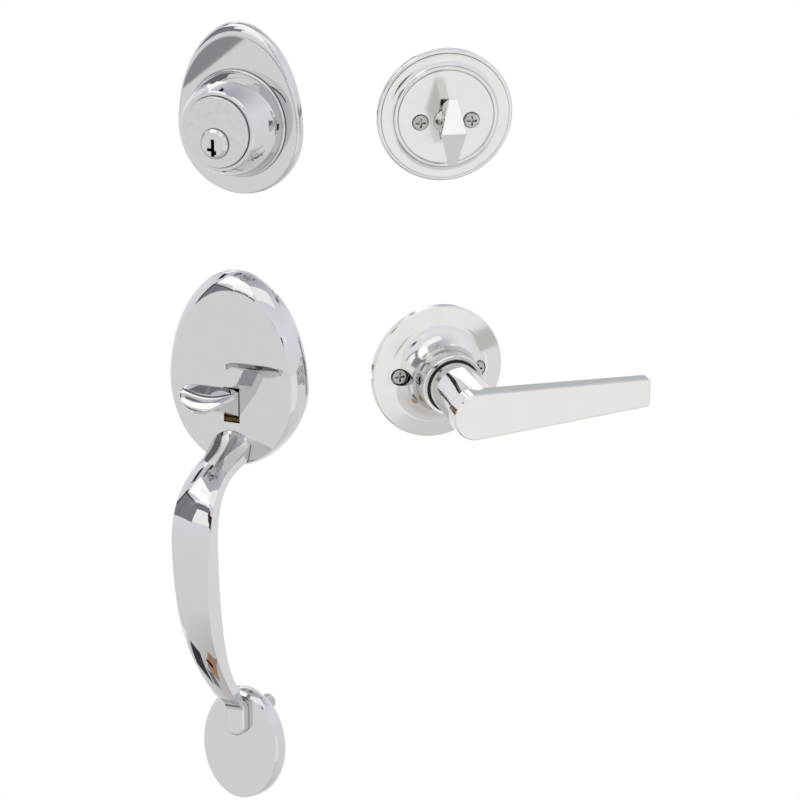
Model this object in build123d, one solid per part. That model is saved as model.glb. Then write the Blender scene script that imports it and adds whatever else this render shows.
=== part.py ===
from build123d import *
import math
import os

# Entry door handleset in millimetres, +Z up. The outside face of the door is the XZ plane and the
# outside hardware stands out from it along -Y. The origin is the latch spindle's axis on that face.
# Each unit is modelled in its own frame, x to its right, y up and z out of the door, then placed.

# Places of the four units
DEADBOLT_RISE = 125.6           # from the latch spindle up to the deadbolt collar's axis
DEADBOLT_SHIFT = 2.6
TURN_UNIT_PLACE = (88.2, 41.0, 128.4)
TURN_UNIT_YAW = 37.0            # degrees about the vertical
LEVER_UNIT_PLACE = (83.5, 39.4, 4.0)
LEVER_UNIT_YAW = 47.3
INSIDE_LEAN = 5.8               # both inside units lean forward, as they are laid out

# Fits shared by all units
RUN_FIT = 0.06                  # radial play of a turning shaft
HOLE_FIT = 0.2                  # radial play of a screw or a spigot in a plain hole
THREAD_FIT = 0.05               # radial play of a screw in its threaded hole
SLIDE_FIT = 0.3                 # play beside a moving face
SCREW_END_GAP = 0.5             # a screw ends this far before its hole does
CUT_PAST = 1.0                  # a cut runs on past the face it opens

# Fasteners
SMALL_SCREW_RADIUS = 1.5        # M3, inside the outside units
SMALL_HEAD_RADIUS = 2.6
SMALL_HEAD_HEIGHT = 1.4
GRIP_SCREW_RADIUS = 2.0
GRIP_HEAD_RADIUS = 3.4
GRIP_HEAD_HEIGHT = 1.6
GRIP_SCREW_BITE = 8.0           # depth of thread in the grip's root
THROUGH_SCREW_RADIUS = 2.0      # long screws from the inside units into the outside posts
THROUGH_HEAD_RADIUS = 3.7
THROUGH_HEAD_HEIGHT = 1.9
RECESS_SPAN = 0.62              # cross recess arm, as a share of the head's radius
RECESS_WIDTH = 0.26
RECESS_DEPTH = 0.6              # share of the head's height
HEAD_ROUND = 0.4                # rounding of a head's edge, share of its height
RING_OPENING = 0.3              # half the opening of a retaining ring, share of its shaft

# Grip plate: oval hollow casting
PLATE_HALF_WIDTH = 36.2
PLATE_TOP = 54.8
PLATE_BOTTOM = 40.6
PLATE_WIDEST = -1.8             # widest line, from the spindle's axis
PLATE_POINT = 1.7               # power of the outline's lower half; 2 would be an ellipse
PLATE_DEPTH = 9.8
PLATE_RIM = 1.4
PLATE_SIDE_INSET = 4.2
PLATE_TOP_INSET = 8.0
PLATE_BOTTOM_INSET = 2.9
PLATE_WALL = 2.2
FLANK_BULGE = 0.3               # share of the inset reached at half the flank's height
SLOT_WIDTH = 8.5
SLOT_TOP = -2.4
SLOT_BOTTOM = -19.4
BOSS_RADIUS = 3.6
BOSS_ACROSS = 20.0
BOSS_UP = 12.5

# Thumbpiece
STEM_SIDE_GAP = 0.25
STEM_BOTTOM_GAP = 3.4           # travel left under the stem in the slot
STEM_TOP_GAP = 1.4
TONGUE_HALF_WIDTH = 14.4
TONGUE_REACH = 45.5             # furthest front edge, from the door
TONGUE_END_REACH = 33.6         # front edge at the two ends
TONGUE_BACK = 30.8
TONGUE_END_BACK = 31.6
TONGUE_UP = 3.8                 # its back edge above the spindle's axis
TONGUE_END_UP = 1.6
TONGUE_CREASE_OUT = 35.2        # crease between the hollow and the round front
TONGUE_CREASE_UP = 0.6
TONGUE_FALL = 8.8              # from the back edge down to the front edge
TONGUE_END_FALL = 1.2
TONGUE_THICK = 2.6
TONGUE_LIP = 1.4                # thickness of the front edge
TONGUE_END_ROUND = 0.15         # roundness left at the two ends
TONGUE_SECTIONS = (-1.0, -0.93, -0.75, -0.4, 0.0, 0.4, 0.75, 0.93, 1.0)
STEM_NOSE = (35.5, -3.2)        # corners of the stem under the tongue, out and up
STEM_CHIN = (27.5, -9.0)
STEM_NAPE = (23.0, -4.6)
STEM_CROWN = (30.6, 1.0)
PIN_RADIUS = 1.6
PIN_BEHIND = 2.5                # pivot pin behind the door's face
PIN_DOWN = 8.2
PIVOT_BOSS_RADIUS = 4.0
FINGER_THICK = 1.5
FINGER_TOP = -1.9
FINGER_LENGTH = 3.8
PIN_END = 0.6                   # pivot pin past each ear

# Chassis: cast box behind the plate, in the door's bore
CHASSIS_HALF_WIDTH = 15.0
CHASSIS_TOP = 15.0
CHASSIS_BOTTOM = 21.0
CHASSIS_DEPTH = 17.8            # back of the box, behind the door's face
CHASSIS_WALL = 1.8
CHASSIS_CORNER = 6.0
FLANGE_HALF_WIDTH = 27.0
FLANGE_TOP = 19.0
FLANGE_BOTTOM = 23.5
FLANGE_THICK = 1.6
FLANGE_CORNER = 9.0
FLANGE_SET_IN = 0.2             # flange inside the plate's rim
EAR_THICK = 1.6

# Lift cam and its neighbours on the latch spindle
CAM_PLATE_RADIUS = 10.0
CAM_PLATE_THICK = 2.0
CAM_ARM_THICK = 3.6
CAM_ARM_REACH = 11.0
CAM_ARM_BACK = 3.5
CAM_ARM_UNDER = 1.5             # underside of the arm below the spindle's axis
CAM_ARM_TOP = 5.0
CAM_HUB_RADIUS = 7.0
CAM_HUB_BEHIND = 9.0            # hub past the back of the chassis
RING_THICK = 1.0
RING_GROOVE = 0.6
RING_REACH = 1.8
CAM_SPRING_WIRE = 0.6           # wire radius
CAM_SPRING_TURNS = 4
SPINDLE_SIDE = 6.35
SPINDLE_REACH = 56.0            # behind the door's face
SPINDLE_CHAMFER = 0.6
POST_SPACING = 39.6
POST_RADIUS = 3.3
POST_SPIGOT_RADIUS = 2.5
POST_THREAD_RADIUS = 2.05
POST_LENGTH = 20.0

# Pull grip
ROOT_HALF_WIDTH = 10.1
ROOT_SHOULDER = -28.8           # top corners of the root on the plate
ROOT_UNDER = -38.7
ROOT_CROWN = 5.4
GRIP_REACH = 52.8               # furthest front edge from the door
GRIP_HALF_WIDTH = 10.5
GRIP_TIP_HALF_WIDTH = 5.0
GRIP_CROWN = 1.1
CROWN_FADE = 5                  # power by which the root's crown fades down the grip
BACK_ROUND = 0.32               # rounding of the back's corners, share of the section
BACK_SHARE = 0.88               # width of the back, share of the front's
TIP_THICK = 6.5
TIP_OUT = 19.0                  # front edge of the lower tip
TIP_RISE = 27.6                 # above the base's widest line
FOOT_HALF_WIDTH = 5.0
FOOT_NECK_HALF_WIDTH = 4.2      # neck between the tip and the foot's front
FOOT_OUT = 11.4                 # front of the foot, from the door
FOOT_TOP_RISE = 24.1            # above the base's widest line
FOOT_BOTTOM_RISE = 6.3
COVE_DROP = 7.7                # tip down to the top of the foot's front
COVE_HOLLOW = 1.0
FOOT_EDGE = 1.8
GRIP_SECTIONS = 11
# Bow of the grip: shares of its reach out of the door and of its height down from the root
EDGE_BOW = ((0.49, 0.052), (0.82, 0.122), (0.985, 0.243), (1.02, 0.388), (0.942, 0.634), (0.65, 0.863))
BACK_BOW = ((0.325, 0.088), (0.585, 0.144), (0.76, 0.267), (0.757, 0.381), (0.664, 0.603), (0.494, 0.828))
WIDTH_BOW = ((0.12, 0.88), (0.23, 0.85), (0.42, 1.0), (0.66, 0.93), (0.88, 0.57))
GRIP_SCREW_SPACING = 9.6
GRIP_SCREW_UP = -33.4

# Grip base
BASE_DROP = 182.1               # spindle axis down to the base's widest line
BASE_HALF_WIDTH = 21.5
BASE_TOP = 28.6
BASE_BOTTOM = 26.9
BASE_DEPTH = 6.0
BASE_RIM = 1.2
BASE_SIDE_INSET = 2.1
BASE_TOP_INSET = 3.1
BASE_BOTTOM_INSET = 0.7
BASE_WALL = 2.0
BASE_POST_RADIUS = 4.0
BASE_POST_THREAD_RADIUS = 2.6
BASE_POST_LENGTH = 24.0
BASE_POST_UP = 13.4             # above the base's widest line
BASE_POST_BITE = 4.5
BASE_BOSS_WALL = 3.4            # boss round the stud's hole

# Deadbolt rose and collar
TRIM_HALF_WIDTH = 32.3
TRIM_TOP = 49.7
TRIM_BOTTOM = 32.5
TRIM_DROP = 2.2                 # widest line below the collar's axis
TRIM_DEPTH = 5.0
TRIM_RIM = 0.8
TRIM_BEAD = 4.2                 # height of the bead's inner edge
TRIM_BEAD_SIDE = 3.1            # height where it has turned inwards by the next share
TRIM_BEAD_ROUND = 0.25
TRIM_SIDE_INSET = 1.2
TRIM_TOP_INSET = 6.2
TRIM_BOTTOM_INSET = 0.9
TRIM_WALL = 1.4
TRIM_OPENING_RADIUS = 17.9
COLLAR_BASE_RADIUS = 25.7
COLLAR_BEAD = 1.5
COLLAR_FOOT_RADIUS = 24.7
COLLAR_FRONT_RADIUS = 19.4
COLLAR_SWELL = 1.1              # bulge of the tapered wall
COLLAR_FRONT = 25.8
COLLAR_EDGE = 0.7
COLLAR_WALL = 2.0
COLLAR_SEAT = 2.2               # depth of the seat for the cylinder's face

# Lock cylinder
CYLINDER_FACE_RADIUS = 17.1
CYLINDER_FACE_PROUD = 1.8       # face disc past the collar's rim
PLUG_BEVEL = 1.4
CYLINDER_BODY_RADIUS = 14.4
CYLINDER_FACE_CHAMFER = 0.42
PLUG_DROP = 5.2                 # plug axis below the collar's axis
PLUG_RADIUS = 6.35
PLUG_FLANGE_RADIUS = 7.1
PLUG_FLANGE_THICK = 3.8
PLUG_PROUD = 2.6
PLUG_TAIL = 2.4                 # plug past the back of the housing
BARREL_RADIUS = 8.2
TOWER_HALF_WIDTH = 4.2
TOWER_RISE = 14.6               # top of the pin tower above the plug's axis
HOUSING_BACK = 3.2
HOUSING_FLANGE = 2.2
HOUSING_FLAT = 0.6              # lower edge of the flange's two wings, above the collar's axis
HOUSING_FLAT_SIDE = 5.74        # where the wings' lower edges meet the barrel
KEYWAY_WIDTH = 1.8
KEYWAY_TOP = 2.4
KEYWAY_BOTTOM = -5.9
KEYWAY_END = 4.0                # bottom of the keyway, from the door's face
TAIL_SLOT_END = 3.2             # bottom of the slot for the tailpiece
WARD_LEFT = (2.0, 1.5, -2.6)    # how far it reaches, its height and its middle
WARD_RIGHT = (1.0, 2.0, -3.9)
PIN_COUNT = 5
PIN_PITCH = 3.5
PIN_FIRST = 20.0                # height of the first pin above the door's face
LOCK_PIN_RADIUS = 1.4
KEY_PIN_LENGTH = 3.2
KEY_PIN_STEP = 0.4
KEY_PIN_REST = 0.25             # tops of the pins under the shear line
KEY_CUTS = (2, 4, 1, 3, 2)
DRIVER_LENGTH = 3.0
SHEAR_GAP = 0.04
PIN_SPRING_WIRE = 0.2
PIN_SPRING_TURNS = 3
COVER_THICK = 0.8
COVER_PAST = 1.0                # cover past the outer pins
CLIP_REACH = 1.7
CLIP_THICK = 0.9
TAILPIECE_WIDTH = 6.2
TAILPIECE_THICK = 1.8
TAILPIECE_REACH = 45.0
BACKPLATE_RADIUS = 22.0
BACKPLATE_THICK = 2.0
CYLINDER_SCREW_ACROSS = 10.2
CYLINDER_SCREW_RISE = 5.4       # above the collar's axis
BOLT_SCREW_SPACING = 24.4       # long screws of the deadbolt, on the turn's axis line
BOLT_POST_RADIUS = 2.9
BOLT_POST_LENGTH = 16.0

# Thumbturn unit
TURN_ROSE_RADIUS = 32.5
TURN_ROSE_WALL = 1.2
TURN_BEAD_RADIUS = 30.5
TURN_BEAD_HEIGHT = 3.0
TURN_BEAD_ROUND = 0.5
TURN_STEP = 0.6                 # step from the bead up to the dished zone
TURN_DISH = 0.25
TURN_DISH_RISE = 0.2            # inner edge of the dished zone above its outer edge
TURN_COVE = 0.6
TURN_RING_ROUND = 0.8
TURN_RING_RADIUS = 24.9
TURN_RING_HEIGHT = 5.0
TURN_PLATEAU_RADIUS = 22.7
TURN_PLATEAU_HEIGHT = 4.4
TURN_DROP = 2.3                 # turn's axis below the rose's centre
TURN_PLATE_RADIUS = 20.5
TURN_PLATE_THICK = 1.6
TURN_SHANK_RADIUS = 5.0
TURN_SHANK_END = -4.0
TURN_HALF_HEIGHT = 16.4
TURN_HALF_WIDTH = 6.0
TURN_END_HALF_WIDTH = 2.0
TURN_FRONT = 21.0               # ends of the turn's front
TURN_CREST = 23.8
TURN_BACK = 7.6
TURN_BACK_HALF_HEIGHT = 10.0
TURN_BACK_HALF_WIDTH = 3.4
TURN_NECK_RADIUS = 5.8
TURN_NECK_TOP = 10.1
TURN_NECK_TOP_RADIUS = 3.8
TURN_SCREW_REACH = 52.0
TURN_SCREW_SINK = 0.57          # head let into the rose
WASHER_RISE = 0.7
WASHER_THICK = 0.42
WASHER_WIDTH = 3.0

# Lever unit
LEVER_ROSE_RADIUS = 32.8
LEVER_ROSE_RIM = 2.6
LEVER_ROSE_WALL = 1.4
LEVER_RIM_BEVEL = 0.5
FLARE_BELLY = (2.6, 3.6)        # the trumpet curve's middle, from the neck and from the flat zone
LEVER_FLAT_HEIGHT = 4.2
LEVER_FLARE_FOOT = 25.0
LEVER_NECK_OUTER = 15.1
LEVER_NECK_HEIGHT = 23.4
LEVER_FLARE_TOP = 16.6
LEVER_SCREW_SPACING = 39.6
LEVER_POCKET_RADIUS = 4.3
LEVER_POCKET_TOP = 4.3
LEVER_SCREW_SEAT = 3.4
LEVER_SCREW_REACH = 16.0
NOTCH_WIDTH = 3.0
NOTCH_DEPTH = 1.2
BUSH_WALL = 0.8
BUSH_TOP = 23.0
BUSH_LENGTH = 7.1
LEVER_NECK_RADIUS = 12.3
LEVER_NECK_BACK = 12.0
LEVER_SHOULDER = 31.5           # where the neck starts to swell into the elbow
LEVER_FACE = 60.0
LEVER_THICK = 8.4
LEVER_TIP_THICK = 6.0
LEVER_LEFT = 13.6               # round end of the arm's face, left of the spindle's axis
LEVER_END_X = -4.6              # where the top edge starts
LEVER_UNDER_X = 2.0             # where the lower edge starts, left of the axis
LEVER_TOP_LEFT = 9.2
LEVER_TOP_TIP = 7.5
LEVER_LOW_LEFT = -13.8
LEVER_LOW_TIP = -6.6
LEVER_REACH = 85.6
LEVER_TIP_CORNER = 1.6
TIP_NICK = 0.48                 # middle of the tip's corners, from their two edges
LEVER_EDGE = 0.5
HUB_RADIUS = 9.4
HUB_FRONT = 33.0
HUB_BACK = -7.0
HUB_FLANGE_RADIUS = 11.2
HUB_FLANGE_THICK = 1.6
SOCKET_SIDE = 7.0
SOCKET_END = 27.0
LEVER_PLATE_RADIUS = 28.5
LEVER_PLATE_THICK = 1.8
LEVER_SPRING_WIRE = 0.8
LEVER_SPRING_TURNS = 3
LEVER_SPRING_PITCH = 1.9
CATCH_RADIUS = 1.5
CATCH_HOLE_RADIUS = 2.0
CATCH_UP = 2.0
CATCH_HEIGHT = 17.2

LOW = (Align.CENTER, Align.CENTER, Align.MIN)
OVAL_POINTS = 28                # points round a pointed oval


# The grip's lower end, which follows the base
TIP_UP = TIP_RISE - BASE_DROP
FOOT_TOP = FOOT_TOP_RISE - BASE_DROP
FOOT_BOTTOM = FOOT_BOTTOM_RISE - BASE_DROP


# Shapes used by several pieces

def bar(radius, low, high, at=(0, 0)):
    """A round bar along the outward axis, from one height to another."""
    return Pos(at[0], at[1], low) * Cylinder(radius, high - low, align=LOW)


def tube(outer, inner, low, high, at=(0, 0)):
    return bar(outer, low, high, at) - bar(inner, low, high, at)


def block(x_low, x_high, y_low, y_high, low, high):
    """A box given by its limits across, up and out."""
    middle = Pos((x_low + x_high) / 2, (y_low + y_high) / 2, low)
    return middle * Box(x_high - x_low, y_high - y_low, high - low, align=LOW)


def rounded_block(half_width, top, bottom, corner, low, high):
    """An upright block with rounded corners, from bottom to top about the axis."""
    outline = Pos(0, (top - bottom) / 2, low) * RectangleRounded(2 * half_width, top + bottom, corner)
    return extrude(outline, amount=high - low, dir=(0, 0, 1))


def turned(edges):
    """A solid turned about the outward axis from a closed outline of radius and height."""
    return revolve(Plane.XZ * make_face(edges), Axis.Z)


def oval(half_width, top, bottom, height):
    """An oval face of two half ellipses that meet at the widest line."""
    upper = EllipticalCenterArc((0, 0), half_width, top, 0, arc_size=180)
    lower = EllipticalCenterArc((0, 0), half_width, bottom, 180, arc_size=180)
    return Pos(0, 0, height) * make_face([upper, lower])


def pointed_oval(half_width, top, bottom, height, power):
    """An oval face whose lower half closes in on a blunt point, by the power of its curve."""
    points = []
    for step in range(OVAL_POINTS):
        turn = 2 * math.pi * step / OVAL_POINTS
        across, up = math.cos(turn), math.sin(turn)
        bend = 1 if up >= 0 else 2 / power
        reach = top if up >= 0 else bottom
        points.append((half_width * math.copysign(abs(across) ** bend, across),
                       reach * math.copysign(abs(up) ** bend, up)))
    return Pos(0, 0, height) * make_face(Spline(*points, periodic=True))


def screw(head_radius, head_height, radius, length):
    """A cross-recessed screw with its head on z = 0 and its shank below."""
    head = bar(head_radius, 0, head_height)
    head = fillet(head.faces().sort_by(Axis.Z)[-1].edges(), head_height * HEAD_ROUND)
    span = 2 * RECESS_SPAN * head_radius
    width = RECESS_WIDTH * head_radius
    floor = head_height * (1 - RECESS_DEPTH)
    recess = block(-span / 2, span / 2, -width / 2, width / 2, floor, head_height)
    recess += block(-width / 2, width / 2, -span / 2, span / 2, floor, head_height)
    return head - recess + bar(radius, -length, 0)


def coil(radius, wire, pitch, turns, low):
    """A round-wire coil about the outward axis, with its lowest turn centred on a height."""
    path = Pos(0, 0, low) * Helix(pitch, pitch * turns, radius)
    end = Plane(origin=path @ 0, z_dir=path % 0)
    return sweep(end * Circle(wire), path=path, is_frenet=True)


def ring(shaft_radius, groove, reach, low, high):
    """An open retaining ring that sits in a shaft's groove."""
    closed = tube(shaft_radius + reach, shaft_radius - groove, low, high)
    half = shaft_radius * RING_OPENING
    gap = block(-half, half, 0, shaft_radius + reach + CUT_PAST, low, high)
    return closed - gap


def grooved(shaft, shaft_radius, groove, low, high):
    """A shaft with a groove for its retaining ring."""
    play = THREAD_FIT
    return shaft - tube(shaft_radius + CUT_PAST, shaft_radius - groove - play, low - play, high + play)


def each(piece, places):
    """The same piece at several places across and up."""
    return [Pos(x, y, 0) * piece for x, y in places]


# Plates with a flat face

def domed_plate(half_width, top, bottom, depth, rim, side_inset, top_inset, bottom_inset, power=2):
    """An upright rim, then a curved flank that leans in to a flat face with a crisp edge."""
    def level(share, height):
        sizes = (half_width - share * side_inset, top - share * top_inset, bottom - share * bottom_inset)
        if power == 2:
            return oval(*sizes, height)
        return pointed_oval(*sizes, height, power + share * (2 - power))
    upright = loft([level(0, 0), level(0, rim)], ruled=True)
    flank = loft([level(0, rim), level(FLANK_BULGE, (rim + depth) / 2), level(1, depth)])
    return upright + flank


def hollow_plate(half_width, top, bottom, depth, rim, side_inset, top_inset, bottom_inset, wall, power=2):
    """A domed plate cast as a shell that is open to the door."""
    outside = domed_plate(half_width, top, bottom, depth, rim, side_inset, top_inset, bottom_inset, power)
    inside = domed_plate(half_width - wall, top - wall, bottom - wall, depth - wall, rim,
                         side_inset, top_inset, bottom_inset, power)
    return outside - inside


# Grip set

SCREW_LINE = POST_SPACING / 2
POST_PLACES = [(-SCREW_LINE, 0), (SCREW_LINE, 0)]
BOSS_PLACES = [(x, y) for x in (-BOSS_ACROSS, BOSS_ACROSS) for y in (-BOSS_UP, BOSS_UP)]
GRIP_SCREW_PLACES = [(-GRIP_SCREW_SPACING / 2, GRIP_SCREW_UP), (GRIP_SCREW_SPACING / 2, GRIP_SCREW_UP)]
FLANGE_FRONT = FLANGE_SET_IN + FLANGE_THICK
PLATE_INSIDE = PLATE_DEPTH - PLATE_WALL
STEM_HALF_WIDTH = SLOT_WIDTH / 2 - STEM_SIDE_GAP
STEM_BOTTOM = SLOT_BOTTOM + STEM_BOTTOM_GAP
STEM_TOP = SLOT_TOP - STEM_TOP_GAP
CHASSIS_FLOOR = -CHASSIS_DEPTH + CHASSIS_WALL       # inner face of the chassis's back
CAM_PLATE_BACK = CHASSIS_FLOOR + SLIDE_FIT
CAM_PLATE_FRONT = CAM_PLATE_BACK + CAM_PLATE_THICK
CAM_HUB_END = -CHASSIS_DEPTH - CAM_HUB_BEHIND
CAM_RING_LOW = CAM_HUB_END + RING_THICK


def grip_plate():
    plate = hollow_plate(PLATE_HALF_WIDTH, PLATE_TOP, PLATE_BOTTOM, PLATE_DEPTH, PLATE_RIM,
                         PLATE_SIDE_INSET, PLATE_TOP_INSET, PLATE_BOTTOM_INSET, PLATE_WALL, PLATE_POINT)
    plate = Pos(0, PLATE_WIDEST, 0) * plate
    plate -= block(-SLOT_WIDTH / 2, SLOT_WIDTH / 2, SLOT_BOTTOM, SLOT_TOP, 0, PLATE_DEPTH)
    for place in BOSS_PLACES:
        plate += bar(BOSS_RADIUS, FLANGE_FRONT, PLATE_INSIDE, place)
        plate -= bar(SMALL_SCREW_RADIUS + THREAD_FIT, FLANGE_FRONT, PLATE_INSIDE, place)
    for place in GRIP_SCREW_PLACES:
        plate -= bar(GRIP_SCREW_RADIUS + HOLE_FIT, 0, PLATE_DEPTH, place)
    return plate


def tongue_section(share):
    """The tongue's side outline at a share of its half width: hollow back, crease and round front."""
    near = 1 - share * share
    straight = math.sqrt(1 - share ** 4)
    back = (TONGUE_END_BACK + (TONGUE_BACK - TONGUE_END_BACK) * straight,
            TONGUE_END_UP + (TONGUE_UP - TONGUE_END_UP) * straight)
    front = (TONGUE_END_REACH + (TONGUE_REACH - TONGUE_END_REACH) * math.sqrt(near),
             back[1] - TONGUE_END_FALL - (TONGUE_FALL - TONGUE_END_FALL) * near)
    crease_share = (TONGUE_CREASE_OUT - TONGUE_BACK) / (TONGUE_REACH - TONGUE_BACK)
    crease_fall = (TONGUE_UP - TONGUE_CREASE_UP) / TONGUE_FALL
    crease = (back[0] + (front[0] - back[0]) * crease_share, back[1] + (front[1] - back[1]) * crease_fall)
    thick = TONGUE_LIP + (TONGUE_THICK - TONGUE_LIP) * near
    low_front = (front[0] - TONGUE_LIP / 2, front[1] - TONGUE_LIP)
    low_back = (back[0] + TONGUE_LIP / 2, back[1] - thick)
    hollow = Line(back, crease)
    belly = ((crease[0] + front[0]) / 2, (crease[1] + front[1]) / 2)
    rise = (near + TONGUE_END_ROUND) * TONGUE_LIP
    brow = ThreePointArc(crease, (belly[0] + rise / 2, belly[1] + rise), front)
    lip = Line(front, low_front)
    under_middle = (belly[0] - thick / 2 + rise / 2, belly[1] - thick + rise / 2)
    under = ThreePointArc(low_front, under_middle, low_back)
    upright = Plane(origin=(share * TONGUE_HALF_WIDTH, 0, 0), x_dir=(0, 0, 1), z_dir=(-1, 0, 0))
    return upright * make_face([hollow, brow, lip, under, Line(low_back, back)])


def thumbpiece():
    """Thumb tongue that slopes down and out, cast with its stem, pivot boss and lifting finger."""
    tongue = loft([tongue_section(share) for share in TONGUE_SECTIONS])
    pivot = (-PIN_BEHIND, -PIN_DOWN)
    tail_end = -(CHASSIS_DEPTH - CHASSIS_WALL - SLIDE_FIT - CAM_PLATE_THICK - CAM_ARM_THICK) + SLIDE_FIT * 2
    stem_line = [
        STEM_NOSE, STEM_CHIN, (PLATE_DEPTH, STEM_BOTTOM), (PLATE_INSIDE - PIVOT_BOSS_RADIUS, STEM_BOTTOM),
        (-PIN_BEHIND, -PIN_DOWN - PIVOT_BOSS_RADIUS), (tail_end, -PIN_DOWN - FINGER_THICK / 2),
        (tail_end, -PIN_DOWN + PIN_BEHIND), (-PIN_BEHIND, -PIN_DOWN + PIVOT_BOSS_RADIUS),
        (PLATE_INSIDE, STEM_TOP), (PLATE_DEPTH + PLATE_WALL, STEM_TOP), STEM_NAPE, STEM_CROWN,
    ]
    side = Plane(origin=(-STEM_HALF_WIDTH, 0, 0), x_dir=(0, 0, 1), z_dir=(1, 0, 0))
    stem = extrude(side * make_face(Polyline(*[(z, -y) for z, y in stem_line], close=True)),
                   amount=2 * STEM_HALF_WIDTH)
    edge = STEM_HALF_WIDTH - FINGER_THICK
    finger = block(edge, STEM_HALF_WIDTH, -PIN_DOWN - FINGER_THICK / 2, FINGER_TOP,
                   tail_end - FINGER_LENGTH, tail_end)
    finger += block(edge, STEM_HALF_WIDTH, -PIN_DOWN, FINGER_TOP, tail_end, tail_end + FINGER_THICK)
    hole = cross_bar(PIN_RADIUS + RUN_FIT, -STEM_HALF_WIDTH, STEM_HALF_WIDTH, pivot)
    return tongue + stem + finger - hole


def cross_bar(radius, x_low, x_high, at):
    """A round bar along x at a height out of the door and a height up."""
    return Pos(x_low, at[1], at[0]) * Rot(0, 90, 0) * Cylinder(radius, x_high - x_low, align=LOW)


EAR_INSIDE = STEM_HALF_WIDTH + STEM_SIDE_GAP + SLIDE_FIT / 2
PIN_HALF_LENGTH = EAR_INSIDE + EAR_THICK + PIN_END


def thumbpiece_pin():
    return cross_bar(PIN_RADIUS, -PIN_HALF_LENGTH, PIN_HALF_LENGTH, (-PIN_BEHIND, -PIN_DOWN))


def chassis():
    """Cast box with a flange, two pivot ears and the bearing of the lift cam."""
    box = rounded_block(CHASSIS_HALF_WIDTH, CHASSIS_TOP, CHASSIS_BOTTOM, CHASSIS_CORNER,
                        -CHASSIS_DEPTH, FLANGE_SET_IN)
    flange = rounded_block(FLANGE_HALF_WIDTH, FLANGE_TOP, FLANGE_BOTTOM, FLANGE_CORNER,
                           FLANGE_SET_IN, FLANGE_FRONT)
    hollow = rounded_block(CHASSIS_HALF_WIDTH - CHASSIS_WALL, CHASSIS_TOP - CHASSIS_WALL,
                           CHASSIS_BOTTOM - CHASSIS_WALL, CHASSIS_CORNER - CHASSIS_WALL,
                           CHASSIS_FLOOR, FLANGE_FRONT)
    body = box + flange - hollow
    for side in (-1, 1):
        x_near, x_far = sorted((side * EAR_INSIDE, side * (EAR_INSIDE + EAR_THICK)))
        body += block(x_near, x_far, -CHASSIS_BOTTOM + CHASSIS_WALL, -PIN_DOWN + PIVOT_BOSS_RADIUS,
                      -PIN_BEHIND - PIVOT_BOSS_RADIUS, -PIN_BEHIND + PIVOT_BOSS_RADIUS - SLIDE_FIT)
    body -= cross_bar(PIN_RADIUS + THREAD_FIT, -PIN_HALF_LENGTH, PIN_HALF_LENGTH, (-PIN_BEHIND, -PIN_DOWN))
    body -= bar(CAM_HUB_RADIUS + RUN_FIT, -CHASSIS_DEPTH, CHASSIS_FLOOR)
    for place in BOSS_PLACES:
        body -= bar(SMALL_SCREW_RADIUS + HOLE_FIT, FLANGE_SET_IN, FLANGE_FRONT, place)
    for place in POST_PLACES:
        body -= bar(POST_SPIGOT_RADIUS + THREAD_FIT, FLANGE_SET_IN, FLANGE_FRONT, place)
    return body


def chassis_screws():
    length = FLANGE_THICK + PLATE_INSIDE - FLANGE_FRONT - SCREW_END_GAP
    upward = Rot(180, 0, 0) * screw(SMALL_HEAD_RADIUS, SMALL_HEAD_HEIGHT, SMALL_SCREW_RADIUS, length)
    return each(Pos(0, 0, FLANGE_SET_IN) * upward, BOSS_PLACES)


def lift_cam():
    """Hub, plate and lifting arm of the latch spindle."""
    arm = block(-CAM_ARM_BACK, CAM_ARM_REACH, -CAM_ARM_UNDER, CAM_ARM_TOP,
                CAM_PLATE_FRONT, CAM_PLATE_FRONT + CAM_ARM_THICK)
    cam = arm + bar(CAM_PLATE_RADIUS, CAM_PLATE_BACK, CAM_PLATE_FRONT)
    cam += grooved(bar(CAM_HUB_RADIUS, CAM_HUB_END, CAM_PLATE_BACK), CAM_HUB_RADIUS, RING_GROOVE,
                   CAM_RING_LOW, CAM_RING_LOW + RING_THICK)
    half = SPINDLE_SIDE / 2 + THREAD_FIT
    return cam - block(-half, half, -half, half, CAM_HUB_END, CAM_PLATE_FRONT)


def cam_ring():
    return ring(CAM_HUB_RADIUS, RING_GROOVE, RING_REACH, CAM_RING_LOW, CAM_RING_LOW + RING_THICK)


def cam_spring():
    """Coil round the hub, from the retaining ring up to the back of the chassis."""
    radius = CAM_HUB_RADIUS + SLIDE_FIT + CAM_SPRING_WIRE
    low = CAM_RING_LOW + RING_THICK + SLIDE_FIT + CAM_SPRING_WIRE
    high = -CHASSIS_DEPTH - CAM_SPRING_WIRE
    return coil(radius, CAM_SPRING_WIRE, (high - low) / CAM_SPRING_TURNS, CAM_SPRING_TURNS, low)


def latch_spindle():
    half = SPINDLE_SIDE / 2
    spindle = block(-half, half, -half, half, -SPINDLE_REACH, CAM_PLATE_FRONT)
    return chamfer(spindle.faces().sort_by(Axis.Z)[0].edges(), SPINDLE_CHAMFER)


def threaded_posts():
    post = bar(POST_RADIUS, -POST_LENGTH, FLANGE_SET_IN)
    post += bar(POST_SPIGOT_RADIUS, FLANGE_SET_IN, FLANGE_FRONT)
    return each(post - bar(POST_THREAD_RADIUS, -POST_LENGTH, FLANGE_FRONT), POST_PLACES)


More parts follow.
